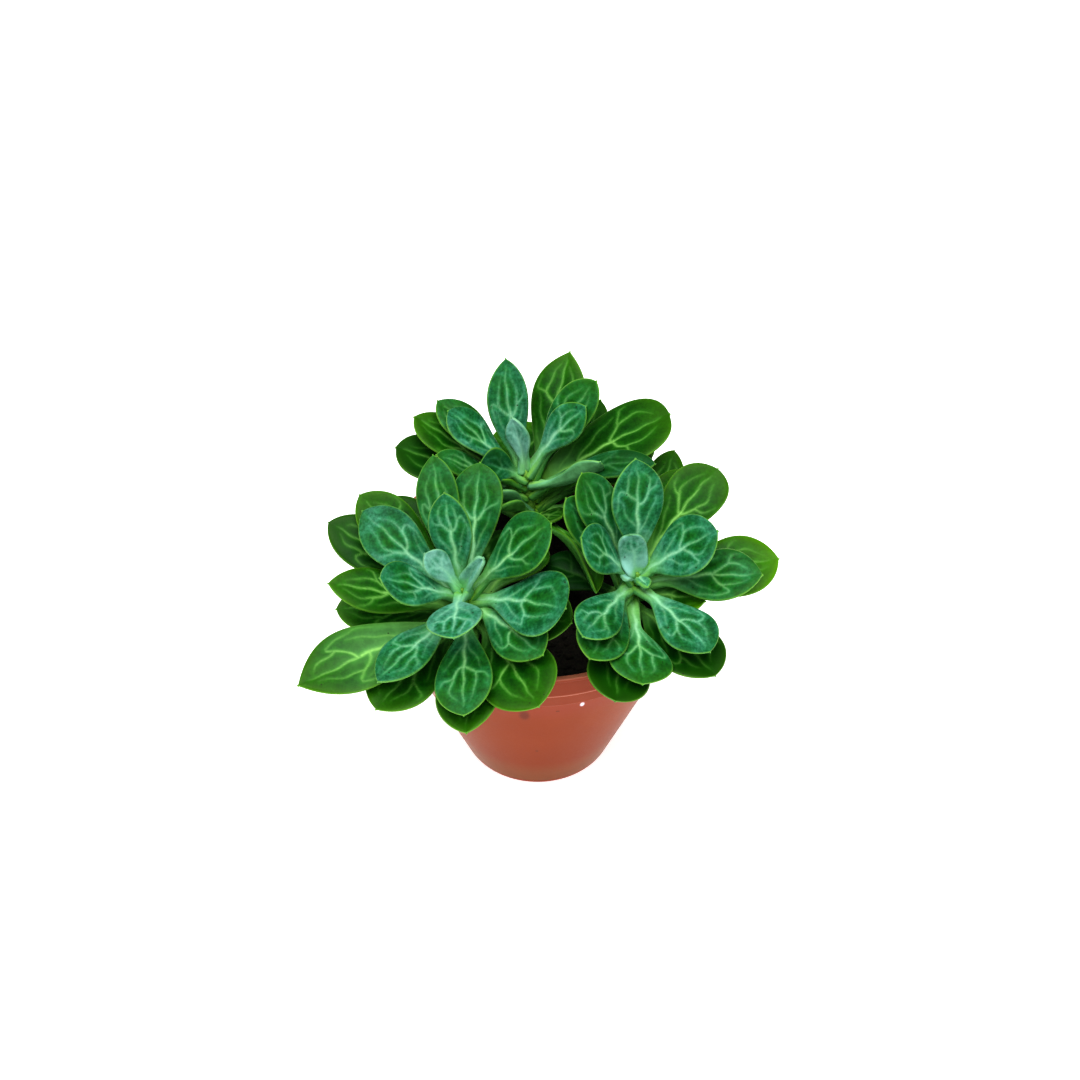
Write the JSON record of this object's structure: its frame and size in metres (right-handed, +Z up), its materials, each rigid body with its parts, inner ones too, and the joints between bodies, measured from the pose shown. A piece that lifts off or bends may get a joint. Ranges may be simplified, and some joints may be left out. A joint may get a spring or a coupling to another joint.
{
  "type": "potted senecio",
  "caption": "Leafy succulent with rosettes of spoon-shaped, net-veined leaves, standing in soil in a tapered nursery pot with a banded rim and a drained floor.",
  "frame": {"origin": "on the ground, at the middle of the pot's underside", "axes": "+Z up along the pot's axis; -Y is the side seen in the picture, with the two nearer rosettes; +X to its right"},
  "size_m": [0.1377, 0.127, 0.1333],
  "materials": {
    "pot_plastic": "smooth, glossy terracotta-coloured moulded plastic",
    "soil": "damp, dark peat crumbs",
    "leaf": "satin, with a thin powdery bloom"
  },
  "bodies": {
    "root": {"pot": "pot_plastic", "soil": "soil", "leafy_stem_left": "leaf", "leafy_stem_right": "leaf", "leafy_stem_back": "leaf"}
  },
  "joints": []
}
